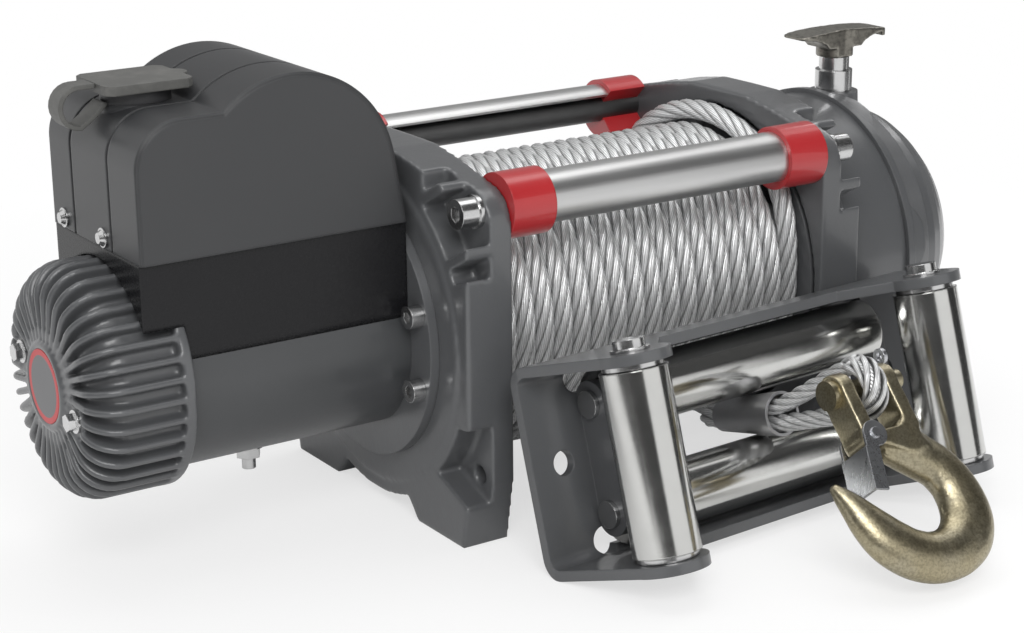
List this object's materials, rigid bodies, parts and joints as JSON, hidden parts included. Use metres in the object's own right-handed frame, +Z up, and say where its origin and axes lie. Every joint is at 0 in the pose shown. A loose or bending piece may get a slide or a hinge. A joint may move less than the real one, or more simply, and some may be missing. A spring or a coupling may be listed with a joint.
{
  "type": "electric recovery winch",
  "caption": "Electric winch with wire rope on a drum between two cast supports, motor and control box at one end, gearbox at the other, roller fairlead and clevis hook.",
  "frame": {"origin": "centre of the four mounting feet, on the plane that they stand on", "axes": "+X along the drum from motor to gearbox, -Y towards the fairlead and hook, +Z up"},
  "size_m": [0.605, 0.4069, 0.2745],
  "materials": {
    "grey_paint": "satin dark grey powder coat on castings",
    "tube_paint": "smooth satin dark grey paint",
    "black_plastic": "satin charcoal black moulding",
    "skirt_plastic": "glossier black moulding",
    "cap_rubber": "soft black rubber",
    "bright_aluminium": "satin brushed",
    "red_clip": "red anodised look",
    "roller_steel": "polished stainless",
    "bright_chrome": "chrome plate",
    "gear_steel": "machined steel, greased",
    "dark_steel": "dark phosphated steel",
    "rope_wire": "bright galvanised wire rope",
    "hook_zinc": "textured forging with yellow zinc plate",
    "zinc_sheet": "zinc plated sheet",
    "knob_casting": "sand-textured satin casting",
    "bushing_bronze": "sintered bronze",
    "copper": "copper windings and bars"
  },
  "bodies": {
    "winch_body": {"left_drum_support": "grey_paint", "right_drum_support": "grey_paint", "gear_housing": "grey_paint", "gear_end_cover": "grey_paint", "gear_cover_screws": "bright_chrome", "ring_gear": "gear_steel", "primary_gear_pack": "gear_steel", "clutch_sleeve": "bright_chrome", "drum_bushings": "bushing_bronze", "motor_flange": "grey_paint", "motor_flange_screws": "bright_chrome", "motor_tube": "tube_paint", "motor_end_cap": "grey_paint", "end_cap_bolts": "bright_chrome", "hub_badge": "red_clip", "field_poles": "gear_steel", "brush_holder": "black_plastic", "motor_terminal": "bright_chrome", "front_tie_bar": "dark_steel", "rear_tie_bar": "dark_steel", "front_tie_cover": "bright_aluminium", "rear_tie_cover": "bright_aluminium", "tie_bar_clips": "red_clip", "tie_bar_screws": "bright_chrome", "control_box_base": "skirt_plastic", "control_box_front_cover": "black_plastic", "control_box_middle": "black_plastic", "control_box_rear_cover": "black_plastic", "control_box_screws": "bright_chrome", "contactors": "copper", "remote_socket": "black_plastic", "dust_cap_strap": "cap_rubber", "fairlead_frame": "grey_paint", "fairlead_roller_pins": "bright_chrome", "rope_tail": "rope_wire", "rope_ferrule": "gear_steel", "rope_eye": "rope_wire"},
    "drum_body": {"drum": "grey_paint", "rope_inner_layers": "rope_wire", "rope_winding": "rope_wire", "output_carrier": "gear_steel", "load_brake": "gear_steel"},
    "planet_top_body": {"planet_gear_top": "gear_steel"},
    "planet_front_body": {"planet_gear_front": "gear_steel"},
    "planet_rear_body": {"planet_gear_rear": "gear_steel"},
    "sun_body": {"sun_gear": "gear_steel"},
    "rotor_body": {"armature": "copper", "drive_shaft": "gear_steel"},
    "clutch_plunger_body": {"clutch_plunger": "bright_chrome"},
    "clutch_handle_body": {"clutch_handle": "knob_casting"},
    "dust_cap_body": {"dust_cap": "cap_rubber"},
    "roller_left_body": {"fairlead_roller_left": "roller_steel"},
    "roller_right_body": {"fairlead_roller_right": "roller_steel"},
    "roller_upper_body": {"fairlead_roller_upper": "roller_steel"},
    "roller_lower_body": {"fairlead_roller_lower": "roller_steel"},
    "hook_body": {"hook": "hook_zinc", "clevis_pin": "hook_zinc", "clevis_cotter": "zinc_sheet"},
    "latch_body": {"hook_latch": "zinc_sheet"}
  },
  "joints": [
    {"name": "drum_spin", "type": "hinge", "parent": "winch_body", "child": "drum_body", "pos_m": [0, 0, 0.11], "axis": [1, 0, 0], "continuous": true, "deforming": ["rope_tail"]},
    {"name": "planet_top_spin", "type": "hinge", "parent": "drum_body", "child": "planet_top_body", "pos_m": [0.164, 0, 0.155], "axis": [1, 0, 0], "continuous": true},
    {"name": "planet_front_spin", "type": "hinge", "parent": "drum_body", "child": "planet_front_body", "pos_m": [0.164, -0.03897, 0.0875], "axis": [1, 0, 0], "continuous": true},
    {"name": "planet_rear_spin", "type": "hinge", "parent": "drum_body", "child": "planet_rear_body", "pos_m": [0.164, 0.03897, 0.0875], "axis": [1, 0, 0], "continuous": true},
    {"name": "sun_spin", "type": "hinge", "parent": "winch_body", "child": "sun_body", "pos_m": [0.17, 0, 0.11], "axis": [1, 0, 0], "continuous": true},
    {"name": "rotor_spin", "type": "hinge", "parent": "winch_body", "child": "rotor_body", "pos_m": [0, 0, 0.11], "axis": [1, 0, 0], "continuous": true},
    {"name": "clutch_lift", "type": "slide", "parent": "winch_body", "child": "clutch_plunger_body", "axis": [0, 0, 1], "range_m": [0, 0.008]},
    {"name": "clutch_turn", "type": "hinge", "parent": "clutch_plunger_body", "child": "clutch_handle_body", "pos_m": [0.21, 0, 0.228], "axis": [0, 0, 1], "range_deg": [0, 90]},
    {"name": "dust_cap_hinge", "type": "hinge", "parent": "winch_body", "child": "dust_cap_body", "pos_m": [-0.3058, 0.003, 0.2705], "axis": [0, -1, 0], "range_deg": [0, 110]},
    {"name": "roller_left_spin", "type": "hinge", "parent": "winch_body", "child": "roller_left_body", "pos_m": [-0.08586, -0.19603, 0.07263], "axis": [-0.0204, 0.2917, 0.9563], "continuous": true},
    {"name": "roller_right_spin", "type": "hinge", "parent": "winch_body", "child": "roller_right_body", "pos_m": [0.13959, -0.18027, 0.07263], "axis": [-0.0204, 0.2917, 0.9563], "continuous": true},
    {"name": "roller_upper_spin", "type": "hinge", "parent": "winch_body", "child": "roller_upper_body", "pos_m": [0.02303, -0.13332, 0.08824], "axis": [0.9976, 0.0698, 0], "continuous": true},
    {"name": "roller_lower_spin", "type": "hinge", "parent": "winch_body", "child": "roller_lower_body", "pos_m": [0.0243, -0.1514, 0.02895], "axis": [0.9976, 0.0698, 0], "continuous": true},
    {"name": "hook_swing", "type": "hinge", "parent": "winch_body", "child": "hook_body", "pos_m": [0.04, -0.219, 0.0945], "axis": [-1, 0, 0], "range_deg": [0, 70]},
    {"name": "latch_swing", "type": "hinge", "parent": "hook_body", "child": "latch_body", "pos_m": [0.026, -0.23907, 0.07221], "axis": [0, -0.7431, 0.6691], "range_deg": [0, 30], "stiffness_Nm_per_rad": 0.02, "springref_deg": -34.38}
  ],
  "couplings": [
    {"joint": "planet_top_spin", "follows": "drum_spin", "ratio": -2.5},
    {"joint": "planet_front_spin", "follows": "drum_spin", "ratio": -2.5},
    {"joint": "planet_rear_spin", "follows": "drum_spin", "ratio": -2.5},
    {"joint": "sun_spin", "follows": "drum_spin", "ratio": 6},
    {"joint": "rotor_spin", "follows": "drum_spin", "ratio": 216}
  ]
}
